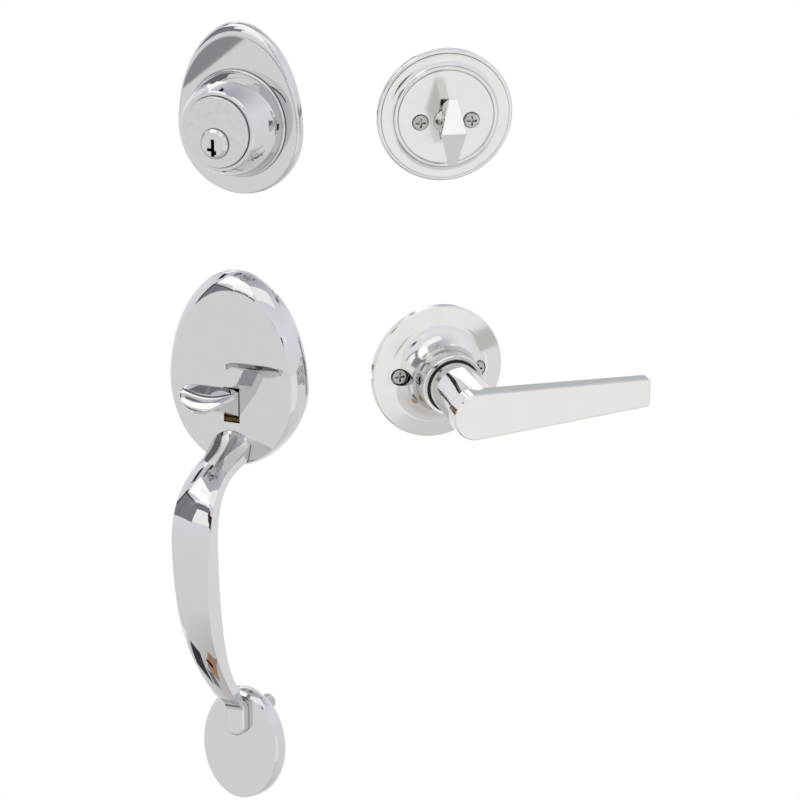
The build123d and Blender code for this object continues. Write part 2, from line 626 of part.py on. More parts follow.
def grip_section(edge, back, half_width, crown):
    """A cross-section of the grip: crowned front, leaning sides and a back with round corners."""
    across = Vector(0, edge[1] - back[1], edge[0] - back[0])
    depth = across.length
    outward = across.normalized()
    corner = min(depth, half_width) * BACK_ROUND
    low_half = half_width * BACK_SHARE
    frame = Plane(origin=(0, edge[1], edge[0]), x_dir=(1, 0, 0),
                  z_dir=Vector(1, 0, 0).cross(outward))
    front = ThreePointArc((half_width, 0), (0, crown), (-half_width, 0))
    left = Line((-half_width, 0), (-low_half, -depth + corner))
    left_turn = TangentArc((-low_half, -depth + corner), (-low_half + corner, -depth), tangent=left % 1)
    under = Line(left_turn @ 1, (low_half - corner, -depth))
    right_turn = TangentArc(under @ 1, (low_half, -depth + corner), tangent=(1, 0))
    right = Line(right_turn @ 1, (half_width, 0))
    return frame * make_face([front, left, left_turn, under, right_turn, right])


def grip_foot(back):
    """Pill-shaped foot on the base, with a cove up to the front and back edges of the tip."""
    spacing = FOOT_TOP - FOOT_BOTTOM - 2 * FOOT_HALF_WIDTH
    pill = Pos(0, (FOOT_TOP + FOOT_BOTTOM) / 2, BASE_DEPTH) * SlotCenterToCenter(
        spacing, 2 * FOOT_HALF_WIDTH, rotation=90)
    foot = extrude(pill, amount=FOOT_OUT - BASE_DEPTH, dir=(0, 0, 1))
    foot = fillet(foot.faces().sort_by(Axis.Z)[-1].edges(), FOOT_EDGE)
    pad_top = TIP_UP - COVE_DROP
    hollow = ((TIP_OUT + FOOT_OUT) / 2 - COVE_HOLLOW, TIP_UP - COVE_DROP / 2)
    cove = ThreePointArc((TIP_OUT, TIP_UP), hollow, (FOOT_OUT, pad_top))
    inner = (BASE_DEPTH + FOOT_HALF_WIDTH / 2, FOOT_TOP - FOOT_HALF_WIDTH / 2)
    upper = (back.X + COVE_HOLLOW, back.Y - COVE_HOLLOW)
    rest = Polyline(cove @ 1, (inner[0], pad_top), inner, upper, (TIP_OUT, TIP_UP))
    side = Plane(origin=(-FOOT_NECK_HALF_WIDTH, 0, 0), x_dir=(0, 0, 1), z_dir=(-1, 0, 0))
    return foot + extrude(side * make_face([cove, *rest.edges()]), amount=-2 * FOOT_NECK_HALF_WIDTH)


def pull_grip():
    """Curved cast grip: an arched root on the plate, a crisp-edged bow and a pill-shaped foot."""
    span = ROOT_SHOULDER - TIP_UP

    def place(shares):
        return (shares[0] * GRIP_REACH, ROOT_SHOULDER - shares[1] * span)
    edge_line = Spline((PLATE_DEPTH, ROOT_SHOULDER), *[place(shares) for shares in EDGE_BOW],
                       (TIP_OUT, TIP_UP))
    back_line = Spline((PLATE_DEPTH, ROOT_UNDER), *[place(shares) for shares in BACK_BOW],
                       (TIP_OUT - TIP_THICK, TIP_UP + TIP_THICK / 2))
    width_line = Spline((0, ROOT_HALF_WIDTH), *[(at, share * GRIP_HALF_WIDTH) for at, share in WIDTH_BOW],
                        (1, GRIP_TIP_HALF_WIDTH))
    sections = []
    for step in range(GRIP_SECTIONS):
        share = step / (GRIP_SECTIONS - 1)
        edge = edge_line @ share
        back = back_line @ share
        crown = GRIP_CROWN + (ROOT_CROWN - GRIP_CROWN) * (1 - share) ** CROWN_FADE
        sections.append(grip_section((edge.X, edge.Y), (back.X, back.Y), (width_line @ share).Y, crown))
    grip = loft(sections)
    grip += grip_foot(back)
    for place in GRIP_SCREW_PLACES:
        grip -= bar(GRIP_SCREW_RADIUS + THREAD_FIT, PLATE_DEPTH, PLATE_DEPTH + GRIP_SCREW_BITE, place)
    stud = BASE_POST_THREAD_RADIUS + THREAD_FIT
    return grip - bar(stud, BASE_DEPTH, BASE_DEPTH + BASE_POST_BITE, (0, BASE_POST_UP - BASE_DROP))


def grip_screws():
    length = PLATE_WALL + GRIP_SCREW_BITE - SCREW_END_GAP
    outward = Rot(180, 0, 0) * screw(GRIP_HEAD_RADIUS, GRIP_HEAD_HEIGHT, GRIP_SCREW_RADIUS, length)
    return each(Pos(0, 0, PLATE_INSIDE) * outward, GRIP_SCREW_PLACES)


def grip_base():
    plate = hollow_plate(BASE_HALF_WIDTH, BASE_TOP, BASE_BOTTOM, BASE_DEPTH, BASE_RIM,
                         BASE_SIDE_INSET, BASE_TOP_INSET, BASE_BOTTOM_INSET, BASE_WALL)
    at = (0, BASE_POST_UP)
    plate += bar(BASE_POST_THREAD_RADIUS + BASE_BOSS_WALL, 0, BASE_DEPTH - BASE_WALL, at)
    plate -= bar(BASE_POST_THREAD_RADIUS + HOLE_FIT, 0, BASE_DEPTH, at)
    return Pos(0, -BASE_DROP, 0) * plate


def base_post():
    """Stud that holds the base and the grip's foot, with a tapped tube for the inside screw."""
    post = bar(BASE_POST_RADIUS, -BASE_POST_LENGTH, 0)
    post -= bar(THROUGH_SCREW_RADIUS + THREAD_FIT, -BASE_POST_LENGTH, -BASE_POST_LENGTH / 3)
    post += bar(BASE_POST_THREAD_RADIUS, 0, BASE_DEPTH + BASE_POST_BITE - SCREW_END_GAP)
    return Pos(0, BASE_POST_UP - BASE_DROP, 0) * post


# Outside deadbolt

BOLT_SCREW_LINE = BOLT_SCREW_SPACING / 2
BOLT_POST_PLACES = [(-BOLT_SCREW_LINE, -PLUG_DROP), (BOLT_SCREW_LINE, -PLUG_DROP)]
CYLINDER_SCREW_PLACES = [(side * CYLINDER_SCREW_ACROSS, CYLINDER_SCREW_RISE) for side in (-1, 1)]
CYLINDER_FACE = COLLAR_FRONT + CYLINDER_FACE_PROUD
CYLINDER_SEAT = COLLAR_FRONT - COLLAR_SEAT
PLUG_FRONT = CYLINDER_FACE + PLUG_PROUD
PLUG_SHOULDER = PLUG_FRONT - PLUG_FLANGE_THICK
PLUG_BACK = HOUSING_BACK - PLUG_TAIL
BACKPLATE_BACK = HOUSING_BACK - BACKPLATE_THICK
CLIP_HIGH = HOUSING_BACK - SHEAR_GAP
AT_PLUG = (0, -PLUG_DROP)
PIN_HEIGHTS = [PIN_FIRST - step * PIN_PITCH for step in range(PIN_COUNT)]
SHEAR_RISE = PLUG_RADIUS - PLUG_DROP            # shear line above the collar's axis
TOWER_TOP = TOWER_RISE - PLUG_DROP


def deadbolt_trim():
    """Egg-shaped pressed rose: a round bead at the edge, then a small step to the flat face."""
    def level(share, height, wall=0):
        return Pos(0, -TRIM_DROP, 0) * oval(TRIM_HALF_WIDTH - share * TRIM_SIDE_INSET - wall,
                                            TRIM_TOP - share * TRIM_TOP_INSET - wall,
                                            TRIM_BOTTOM - share * TRIM_BOTTOM_INSET - wall, height)

    def shell(wall):
        rim = loft([level(0, 0, wall), level(0, TRIM_RIM, wall)], ruled=True)
        bead = loft([level(0, TRIM_RIM, wall), level(TRIM_BEAD_ROUND, TRIM_BEAD_SIDE - wall / 2, wall),
                     level(1, TRIM_BEAD - wall, wall)])
        face = extrude(level(1, TRIM_RIM, wall), amount=TRIM_DEPTH - wall - TRIM_RIM, dir=(0, 0, 1))
        return rim + bead + face
    opening = bar(TRIM_OPENING_RADIUS, 0, TRIM_DEPTH)
    return shell(0) - shell(TRIM_WALL) - opening


def deadbolt_collar():
    """Tapered cast guard with a base bead and a lip round the cylinder's face."""
    foot = TRIM_DEPTH + COLLAR_BEAD
    bead_arc = ThreePointArc((COLLAR_BASE_RADIUS - COLLAR_BEAD / 2, TRIM_DEPTH),
                             (COLLAR_BASE_RADIUS, TRIM_DEPTH + COLLAR_BEAD / 2),
                             (COLLAR_BASE_RADIUS - COLLAR_BEAD / 2, foot))
    step = Line(bead_arc @ 1, (COLLAR_FOOT_RADIUS, foot))
    middle = ((COLLAR_FOOT_RADIUS + COLLAR_FRONT_RADIUS) / 2 + COLLAR_SWELL, (foot + COLLAR_FRONT) / 2)
    wall = ThreePointArc(step @ 1, middle, (COLLAR_FRONT_RADIUS, COLLAR_FRONT - COLLAR_EDGE))
    lip = Line(wall @ 1, (COLLAR_FRONT_RADIUS - COLLAR_EDGE, COLLAR_FRONT))
    seat_radius = CYLINDER_FACE_RADIUS + HOLE_FIT
    bore_radius = CYLINDER_BODY_RADIUS + HOLE_FIT
    inside = Polyline(lip @ 1, (seat_radius, COLLAR_FRONT), (seat_radius, CYLINDER_SEAT),
                      (bore_radius, CYLINDER_SEAT), (bore_radius, CYLINDER_SEAT - COLLAR_WALL),
                      (COLLAR_FRONT_RADIUS - COLLAR_WALL, CYLINDER_SEAT - COLLAR_WALL),
                      (COLLAR_FOOT_RADIUS - COLLAR_WALL, foot),
                      (COLLAR_FOOT_RADIUS - COLLAR_WALL, TRIM_DEPTH))
    base = Line(inside @ 1, bead_arc @ 0)
    return turned([bead_arc, step, wall, lip, *inside.edges(), base])


def cylinder_housing():
    """Lock body: face disc, barrel round the plug, pin tower above it and a flange at the back."""
    face = bar(CYLINDER_FACE_RADIUS, CYLINDER_SEAT, CYLINDER_FACE)
    face = chamfer(face.faces().sort_by(Axis.Z)[-1].edges(), CYLINDER_FACE_CHAMFER)
    body = face + bar(BARREL_RADIUS, HOUSING_BACK, CYLINDER_SEAT, AT_PLUG)
    body += block(-TOWER_HALF_WIDTH, TOWER_HALF_WIDTH, -PLUG_DROP, TOWER_TOP - COVER_THICK,
                  HOUSING_BACK, CYLINDER_SEAT)
    flange = bar(CYLINDER_BODY_RADIUS, HOUSING_BACK, HOUSING_BACK + HOUSING_FLANGE)
    below = CYLINDER_BODY_RADIUS + CUT_PAST
    for side in (-1, 1):
        x_near, x_far = sorted((side * HOUSING_FLAT_SIDE, side * below))
        flange -= block(x_near, x_far, -below, HOUSING_FLAT, HOUSING_BACK, HOUSING_BACK + HOUSING_FLANGE)
    flange -= block(-TOWER_HALF_WIDTH, TOWER_HALF_WIDTH, TOWER_TOP - COVER_THICK, below,
                    HOUSING_BACK, HOUSING_BACK + HOUSING_FLANGE)
    body += flange
    body -= bar(PLUG_RADIUS + RUN_FIT, HOUSING_BACK, CYLINDER_FACE, AT_PLUG)
    body -= bar(PLUG_FLANGE_RADIUS + RUN_FIT, PLUG_SHOULDER - RUN_FIT, CYLINDER_FACE, AT_PLUG)
    for height in PIN_HEIGHTS:
        body -= up_bar(LOCK_PIN_RADIUS + THREAD_FIT, 0, TOWER_TOP, height)
    for place in CYLINDER_SCREW_PLACES:
        body -= bar(SMALL_SCREW_RADIUS + THREAD_FIT, HOUSING_BACK, HOUSING_BACK + HOUSING_FLANGE, place)
    return body


def up_bar(radius, y_low, y_high, height):
    """A round bar along y at a height out of the door."""
    return Pos(0, y_low, height) * Rot(-90, 0, 0) * Cylinder(radius, y_high - y_low, align=LOW)


def key_plug():
    """Turning plug with its flange, keyway and pin holes."""
    plug = bar(PLUG_RADIUS, PLUG_BACK, PLUG_SHOULDER, AT_PLUG)
    plug = Pos(0, PLUG_DROP, 0) * plug
    plug = grooved(plug, PLUG_RADIUS, RING_GROOVE, CLIP_HIGH - CLIP_THICK, CLIP_HIGH)
    flange = bar(PLUG_FLANGE_RADIUS, PLUG_SHOULDER, PLUG_FRONT)
    plug += chamfer(flange.faces().sort_by(Axis.Z)[-1].edges(), PLUG_BEVEL)
    half = KEYWAY_WIDTH / 2
    keyway = block(-half, half, KEYWAY_BOTTOM, KEYWAY_TOP, KEYWAY_END, PLUG_FRONT)
    reach, tall, middle = WARD_LEFT
    keyway += block(-half - reach, half, middle - tall / 2, middle + tall / 2, KEYWAY_END, PLUG_FRONT)
    reach, tall, middle = WARD_RIGHT
    keyway += block(-half, half + reach, middle - tall / 2, middle + tall / 2, KEYWAY_END, PLUG_FRONT)
    plug -= keyway
    for height in PIN_HEIGHTS:
        plug -= up_bar(LOCK_PIN_RADIUS + THREAD_FIT, 0, PLUG_RADIUS + CUT_PAST, height)
    half_slot = TAILPIECE_THICK / 2 + THREAD_FIT
    tall_slot = TAILPIECE_WIDTH / 2 + THREAD_FIT
    plug -= block(-half_slot, half_slot, -tall_slot, tall_slot, PLUG_BACK, TAIL_SLOT_END)
    return Pos(0, -PLUG_DROP, 0) * plug


def key_pins():
    """Pins of five lengths in the plug, with their tops at the shear line."""
    top = SHEAR_RISE - SHEAR_GAP
    return [up_bar(LOCK_PIN_RADIUS, top - KEY_PIN_LENGTH - cut * KEY_PIN_STEP, top - KEY_PIN_REST, height)
            for cut, height in zip(KEY_CUTS, PIN_HEIGHTS)]


def driver_pins():
    low = SHEAR_RISE + RUN_FIT + SHEAR_GAP
    return [up_bar(LOCK_PIN_RADIUS, low, low + DRIVER_LENGTH, height) for height in PIN_HEIGHTS]


def pin_springs():
    low = SHEAR_RISE + RUN_FIT + SHEAR_GAP + DRIVER_LENGTH + PIN_SPRING_WIRE
    high = TOWER_TOP - COVER_THICK - PIN_SPRING_WIRE
    pitch = (high - low - SHEAR_GAP * 2) / PIN_SPRING_TURNS
    radius = LOCK_PIN_RADIUS - PIN_SPRING_WIRE - THREAD_FIT
    spring = Rot(-90, 0, 0) * coil(radius, PIN_SPRING_WIRE, pitch, PIN_SPRING_TURNS, low + SHEAR_GAP)
    return [Pos(0, 0, height) * spring for height in PIN_HEIGHTS]


def chamber_cover():
    past = LOCK_PIN_RADIUS + COVER_PAST
    return block(-TOWER_HALF_WIDTH, TOWER_HALF_WIDTH, TOWER_TOP - COVER_THICK, TOWER_TOP,
                 PIN_HEIGHTS[-1] - past, PIN_HEIGHTS[0] + past)


def plug_clip():
    clip = ring(PLUG_RADIUS, RING_GROOVE, CLIP_REACH, CLIP_HIGH - CLIP_THICK, CLIP_HIGH)
    return Pos(0, -PLUG_DROP, 0) * clip


def tailpiece():
    half, tall = TAILPIECE_THICK / 2, TAILPIECE_WIDTH / 2
    blade = block(-half, half, -tall, tall, -TAILPIECE_REACH, TAIL_SLOT_END - THREAD_FIT)
    return Pos(0, -PLUG_DROP, 0) * blade


def deadbolt_backplate():
    plate = bar(BACKPLATE_RADIUS, BACKPLATE_BACK, HOUSING_BACK)
    plate -= bar(PLUG_RADIUS + CLIP_REACH + SLIDE_FIT, BACKPLATE_BACK, HOUSING_BACK, AT_PLUG)
    for place in CYLINDER_SCREW_PLACES:
        plate -= bar(SMALL_SCREW_RADIUS + HOLE_FIT, BACKPLATE_BACK, HOUSING_BACK, place)
    for place in BOLT_POST_PLACES:
        plate -= bar(POST_SPIGOT_RADIUS + THREAD_FIT, BACKPLATE_BACK, HOUSING_BACK, place)
    return plate


def deadbolt_posts():
    post = bar(BOLT_POST_RADIUS, BACKPLATE_BACK - BOLT_POST_LENGTH, BACKPLATE_BACK)
    post += bar(POST_SPIGOT_RADIUS, BACKPLATE_BACK, HOUSING_BACK)
    post -= bar(POST_THREAD_RADIUS, BACKPLATE_BACK - BOLT_POST_LENGTH, HOUSING_BACK)
    return each(post, BOLT_POST_PLACES)


def cylinder_screws():
    length = BACKPLATE_THICK + HOUSING_FLANGE - SCREW_END_GAP
    outward = Rot(180, 0, 0) * screw(SMALL_HEAD_RADIUS, SMALL_HEAD_HEIGHT, SMALL_SCREW_RADIUS, length)
    return each(Pos(0, 0, BACKPLATE_BACK) * outward, CYLINDER_SCREW_PLACES)


# Inside thumbturn

AT_TURN = (0, -TURN_DROP)
TURN_SCREW_PLACES = [(-BOLT_SCREW_LINE, -TURN_DROP), (BOLT_SCREW_LINE, -TURN_DROP)]
TURN_UNDER = TURN_PLATEAU_HEIGHT - TURN_ROSE_WALL
TURN_PLATE_BACK = TURN_UNDER - TURN_PLATE_THICK
TURN_SCREW_SEAT = TURN_PLATEAU_HEIGHT - TURN_SCREW_SINK


def turn_rose():
    """Round rose with an outer bead, a dished ring and a raised inner ring round the flat middle."""
    wall = TURN_ROSE_WALL
    low_step = TURN_BEAD_HEIGHT - TURN_STEP
    ledge = TURN_BEAD_HEIGHT + TURN_DISH_RISE
    ring_foot = TURN_RING_RADIUS + TURN_COVE
    ring_side = TURN_RING_RADIUS - TURN_COVE / 6
    ring_edge = TURN_RING_HEIGHT - TURN_RING_ROUND / 2
    bead = ThreePointArc((TURN_ROSE_RADIUS, wall), (TURN_ROSE_RADIUS - TURN_BEAD_ROUND, low_step),
                         (TURN_BEAD_RADIUS, low_step + TURN_BEAD_ROUND / 5))
    step = Line(bead @ 1, (TURN_BEAD_RADIUS, TURN_BEAD_HEIGHT))
    dish_middle = (TURN_BEAD_RADIUS + ring_foot) / 2
    dish = ThreePointArc(step @ 1, (dish_middle, TURN_BEAD_HEIGHT - TURN_DISH), (ring_foot, ledge))
    cove = ThreePointArc(dish @ 1, (TURN_RING_RADIUS, ledge + TURN_COVE), (ring_side, ring_edge))
    crest = ThreePointArc(cove @ 1, (TURN_RING_RADIUS - TURN_RING_ROUND, TURN_RING_HEIGHT),
                          (TURN_PLATEAU_RADIUS, TURN_PLATEAU_HEIGHT))
    inside = Polyline(crest @ 1, (0, TURN_PLATEAU_HEIGHT), (0, TURN_UNDER),
                      (TURN_PLATEAU_RADIUS - TURN_COVE, TURN_UNDER), (TURN_PLATEAU_RADIUS, ledge - wall),
                      (TURN_BEAD_RADIUS - wall, low_step - wall + TURN_DISH_RISE),
                      (TURN_ROSE_RADIUS - wall, 0), (TURN_ROSE_RADIUS, 0), bead @ 0)
    rose = turned([bead, step, dish, cove, crest, *inside.edges()])
    rose -= bar(TURN_SHANK_RADIUS + HOLE_FIT, 0, TURN_RING_HEIGHT, AT_TURN)
    for place in TURN_SCREW_PLACES:
        rose -= bar(THROUGH_SCREW_RADIUS + HOLE_FIT, 0, TURN_RING_HEIGHT, place)
        rose -= bar(THROUGH_HEAD_RADIUS + HOLE_FIT, TURN_SCREW_SEAT, TURN_RING_HEIGHT, place)
    return rose


def turn_plate():
    plate = bar(TURN_PLATE_RADIUS, TURN_PLATE_BACK, TURN_UNDER)
    plate -= bar(TURN_SHANK_RADIUS + RUN_FIT, TURN_PLATE_BACK, TURN_UNDER, AT_TURN)
    for place in TURN_SCREW_PLACES:
        plate -= bar(THROUGH_SCREW_RADIUS + HOLE_FIT, TURN_PLATE_BACK, TURN_UNDER, place)
    return plate


def lozenge(half_width, half_height, end_half_width, height):
    """A six-sided face that is widest in the middle and narrow at its two ends."""
    return Pos(0, 0, height) * make_face(Polyline(
        (half_width, 0), (end_half_width, half_height), (-end_half_width, half_height),
        (-half_width, 0), (-end_half_width, -half_height), (end_half_width, -half_height), close=True))


def thumbturn():
    """Faceted turn on a round shank: it flares from the rose to a gabled front with a level crest."""
    blade = loft([lozenge(TURN_BACK_HALF_WIDTH, TURN_BACK_HALF_HEIGHT, TURN_END_HALF_WIDTH, TURN_BACK),
                  lozenge(TURN_HALF_WIDTH, TURN_HALF_HEIGHT, TURN_END_HALF_WIDTH, TURN_FRONT)], ruled=True)
    gable_side = Plane(origin=(-TURN_HALF_WIDTH, 0, 0), x_dir=(0, 1, 0), z_dir=(1, 0, 0))
    gable = extrude(gable_side * make_face(Polyline(
        (-TURN_HALF_HEIGHT, TURN_FRONT), (TURN_HALF_HEIGHT, TURN_FRONT), (0, TURN_CREST), close=True)),
        amount=2 * TURN_HALF_WIDTH)
    column = extrude(lozenge(TURN_HALF_WIDTH, TURN_HALF_HEIGHT, TURN_END_HALF_WIDTH, TURN_FRONT),
                     amount=TURN_CREST - TURN_FRONT, dir=(0, 0, 1))
    turn = blade + (gable & column)
    neck = TURN_PLATEAU_HEIGHT + SLIDE_FIT
    turn += loft([Pos(0, 0, neck) * Circle(TURN_NECK_RADIUS),
                  Pos(0, 0, TURN_NECK_TOP) * Circle(TURN_NECK_TOP_RADIUS)])
    shank = bar(TURN_SHANK_RADIUS, TURN_SHANK_END, neck)
    turn += grooved(shank, TURN_SHANK_RADIUS, RING_GROOVE, TURN_RING_LOW, TURN_RING_LOW + RING_THICK)
    half, tall = TAILPIECE_THICK / 2 + HOLE_FIT, TAILPIECE_WIDTH / 2 + HOLE_FIT
    turn -= block(-half, half, -tall, tall, TURN_SHANK_END, TURN_PLATEAU_HEIGHT)
    return Pos(0, -TURN_DROP, 0) * turn


TURN_RING_LOW = TURN_PLATE_BACK - WASHER_RISE - SHEAR_GAP * 2 - RING_THICK


def turn_washer():
    """Dished spring washer between the plate and the ring."""
    low = TURN_PLATE_BACK - WASHER_RISE - SHEAR_GAP
    inner = TURN_SHANK_RADIUS + HOLE_FIT
    outer = inner + WASHER_WIDTH
    outline = Polyline((inner, low), (outer, low + WASHER_RISE - WASHER_THICK), (outer, low + WASHER_RISE),
                       (inner, low + WASHER_THICK), close=True)
    return Pos(0, -TURN_DROP, 0) * turned(outline.edges())


def turn_ring():
    closed = ring(TURN_SHANK_RADIUS, RING_GROOVE, RING_REACH, TURN_RING_LOW, TURN_RING_LOW + RING_THICK)
    return Pos(0, -TURN_DROP, 0) * closed


def turn_screws():
    length = TURN_SCREW_REACH + TURN_SCREW_SEAT
    inward = screw(THROUGH_HEAD_RADIUS, THROUGH_HEAD_HEIGHT, THROUGH_SCREW_RADIUS, length)
    return each(Pos(0, 0, TURN_SCREW_SEAT) * inward, TURN_SCREW_PLACES)


# Inside lever

LEVER_SCREW_LINE = LEVER_SCREW_SPACING / 2
LEVER_SCREW_PLACES = [(-LEVER_SCREW_LINE, 0), (LEVER_SCREW_LINE, 0)]
BUSH_INNER = LEVER_NECK_RADIUS + RUN_FIT
BUSH_OUTER = BUSH_INNER + BUSH_WALL
LEVER_PLATE_FRONT = LEVER_SCREW_SEAT - LEVER_ROSE_WALL
LEVER_PLATE_BACK = LEVER_PLATE_FRONT - LEVER_PLATE_THICK
HUB_FLANGE_LOW = LEVER_PLATE_FRONT + SLIDE_FIT / 3


def flare_line(offset):
    """The trumpet curve of the rose, from its foot up to the neck, moved inwards by a wall."""
    foot = (LEVER_FLARE_FOOT - offset, LEVER_FLAT_HEIGHT - offset)
    top = (LEVER_NECK_OUTER - offset, LEVER_FLARE_TOP)
    belly = (LEVER_NECK_OUTER - offset + FLARE_BELLY[0], LEVER_FLAT_HEIGHT - offset + FLARE_BELLY[1])
    return ThreePointArc(foot, belly, top)


def lever_rose():
    """Round rose with a thin rim, a nearly flat outer zone and a flared neck."""
    rim_top = LEVER_ROSE_RIM + LEVER_RIM_BEVEL
    outer = Polyline((LEVER_ROSE_RADIUS - LEVER_ROSE_WALL, 0), (LEVER_ROSE_RADIUS, 0),
                     (LEVER_ROSE_RADIUS, LEVER_ROSE_RIM), (LEVER_ROSE_RADIUS - LEVER_RIM_BEVEL, rim_top),
                     (LEVER_FLARE_FOOT, LEVER_FLAT_HEIGHT))
    flare = flare_line(0)
    neck = Polyline(flare @ 1, (LEVER_NECK_OUTER, LEVER_NECK_HEIGHT - LEVER_RIM_BEVEL),
                    (LEVER_NECK_OUTER - LEVER_RIM_BEVEL, LEVER_NECK_HEIGHT),
                    (BUSH_OUTER, LEVER_NECK_HEIGHT), (BUSH_OUTER, LEVER_FLARE_TOP),
                    (LEVER_NECK_OUTER - LEVER_ROSE_WALL, LEVER_FLARE_TOP))
    inner_flare = flare_line(LEVER_ROSE_WALL)
    under = Polyline(inner_flare @ 0, (LEVER_ROSE_RADIUS - LEVER_ROSE_WALL, rim_top - LEVER_ROSE_WALL),
                     (LEVER_ROSE_RADIUS - LEVER_ROSE_WALL, 0))
    rose = turned([*outer.edges(), flare, *neck.edges(), inner_flare, *under.edges()])
    for place in LEVER_SCREW_PLACES:
        rose += bar(LEVER_POCKET_RADIUS + LEVER_ROSE_WALL, LEVER_PLATE_FRONT, LEVER_POCKET_TOP, place)
        rose -= bar(LEVER_POCKET_RADIUS, LEVER_SCREW_SEAT, LEVER_NECK_HEIGHT, place)
        rose -= bar(THROUGH_SCREW_RADIUS + HOLE_FIT, 0, LEVER_SCREW_SEAT, place)
    rose -= block(-LEVER_ROSE_RADIUS - CUT_PAST, -LEVER_ROSE_RADIUS + NOTCH_DEPTH,
                  -NOTCH_WIDTH / 2, NOTCH_WIDTH / 2, 0, LEVER_ROSE_RIM)
    return rose - cross_bar(CATCH_HOLE_RADIUS, -LEVER_NECK_OUTER - CUT_PAST, 0, (CATCH_HEIGHT, CATCH_UP))


def rose_bush():
    bush = tube(BUSH_OUTER - SHEAR_GAP, BUSH_INNER, BUSH_TOP - BUSH_LENGTH, BUSH_TOP)
    return bush - cross_bar(CATCH_HOLE_RADIUS, -LEVER_NECK_OUTER, 0, (CATCH_HEIGHT, CATCH_UP))


def lever_plate():
    plate = bar(LEVER_PLATE_RADIUS, LEVER_PLATE_BACK, LEVER_PLATE_FRONT)
    plate -= bar(HUB_RADIUS + RUN_FIT, LEVER_PLATE_BACK, LEVER_PLATE_FRONT)
    for place in LEVER_SCREW_PLACES:
        plate -= bar(THROUGH_SCREW_RADIUS + HOLE_FIT, LEVER_PLATE_BACK, LEVER_PLATE_FRONT, place)
    return plate


def lever_outline():
    """The arm's face: a round left end, a nearly level top edge and a rising lower edge."""
    corner = LEVER_TIP_CORNER
    top = Line((LEVER_END_X, LEVER_TOP_LEFT), (LEVER_REACH - corner, LEVER_TOP_TIP))
    top_corner = ThreePointArc(top @ 1, (LEVER_REACH - TIP_NICK, LEVER_TOP_TIP - TIP_NICK),
                               (LEVER_REACH, LEVER_TOP_TIP - corner))
    tip = Line(top_corner @ 1, (LEVER_REACH, LEVER_LOW_TIP + corner))
    low_corner = ThreePointArc(tip @ 1, (LEVER_REACH - TIP_NICK, LEVER_LOW_TIP + TIP_NICK),
                               (LEVER_REACH - corner, LEVER_LOW_TIP))
    under = Line(low_corner @ 1, (-LEVER_UNDER_X, LEVER_LOW_LEFT))
    round_end = ThreePointArc(under @ 1, (-LEVER_LEFT, (LEVER_TOP_LEFT + LEVER_LOW_LEFT) / 2), top @ 0)
    return make_face([top, top_corner, tip, low_corner, under, round_end])


def lever_handle():
    """Cast lever: a neck over the hub, an elbow that swells to the left and a tapering flat arm."""
    back = LEVER_FACE - LEVER_THICK
    slab = extrude(Pos(0, 0, back) * lever_outline(), amount=LEVER_THICK, dir=(0, 0, 1))
    slope = math.degrees(math.atan((LEVER_THICK - LEVER_TIP_THICK) / LEVER_REACH))
    slab -= Pos(0, 0, back) * Rot(0, -slope, 0) * Box(
        3 * LEVER_REACH, LEVER_REACH, LEVER_THICK, align=(Align.CENTER, Align.CENTER, Align.MAX))
    slab = chamfer(slab.faces().sort_by(Axis.Z)[-1].edges(), LEVER_EDGE)
    neck = bar(LEVER_NECK_RADIUS, LEVER_NECK_BACK, LEVER_SHOULDER)
    end_half = (LEVER_TOP_LEFT - LEVER_LOW_LEFT) / 2
    drop = (LEVER_TOP_LEFT + LEVER_LOW_LEFT) / 2
    elbow = loft([Pos(0, 0, LEVER_SHOULDER) * Circle(LEVER_NECK_RADIUS),
                  Pos(0, drop / 2, (LEVER_SHOULDER + back) / 2) * Circle(LEVER_NECK_RADIUS),
                  Pos(0, drop, LEVER_FACE - LEVER_THICK / 2)
                  * Ellipse(LEVER_LEFT - LEVER_EDGE, end_half - LEVER_EDGE)])
    lever = neck + elbow + slab
    lever -= bar(HUB_RADIUS + THREAD_FIT, LEVER_NECK_BACK, HUB_FRONT + LEVER_EDGE)
    return lever - cross_bar(CATCH_RADIUS + THREAD_FIT, -LEVER_NECK_RADIUS - CUT_PAST, 0,
                             (CATCH_HEIGHT, CATCH_UP))


def lever_hub():
    """Hub tube with a flange in front of the plate and a square socket for the spindle."""
    low = LEVER_PLATE_BACK - SLIDE_FIT / 3 - RING_THICK
    hub = grooved(bar(HUB_RADIUS, HUB_BACK, HUB_FRONT), HUB_RADIUS, RING_GROOVE, low, low + RING_THICK)
    hub += bar(HUB_FLANGE_RADIUS, HUB_FLANGE_LOW, HUB_FLANGE_LOW + HUB_FLANGE_THICK)
    half = SOCKET_SIDE / 2
    return hub - block(-half, half, -half, half, HUB_BACK, SOCKET_END)


def lever_ring():
    low = LEVER_PLATE_BACK - SLIDE_FIT / 3 - RING_THICK
    return ring(HUB_RADIUS, RING_GROOVE, RING_REACH, low, low + RING_THICK)


def lever_spring():
    radius = HUB_RADIUS + SLIDE_FIT + LEVER_SPRING_WIRE
    low = HUB_FLANGE_LOW + HUB_FLANGE_THICK + SLIDE_FIT / 2 + LEVER_SPRING_WIRE
    return coil(radius, LEVER_SPRING_WIRE, LEVER_SPRING_PITCH, LEVER_SPRING_TURNS, low)


def lever_catch():
    button = cross_bar(CATCH_RADIUS, -LEVER_NECK_RADIUS, -HUB_RADIUS - LEVER_EDGE, (CATCH_HEIGHT, CATCH_UP))
    return button & bar(LEVER_NECK_RADIUS, CATCH_HEIGHT - CATCH_RADIUS, CATCH_HEIGHT + CATCH_RADIUS)


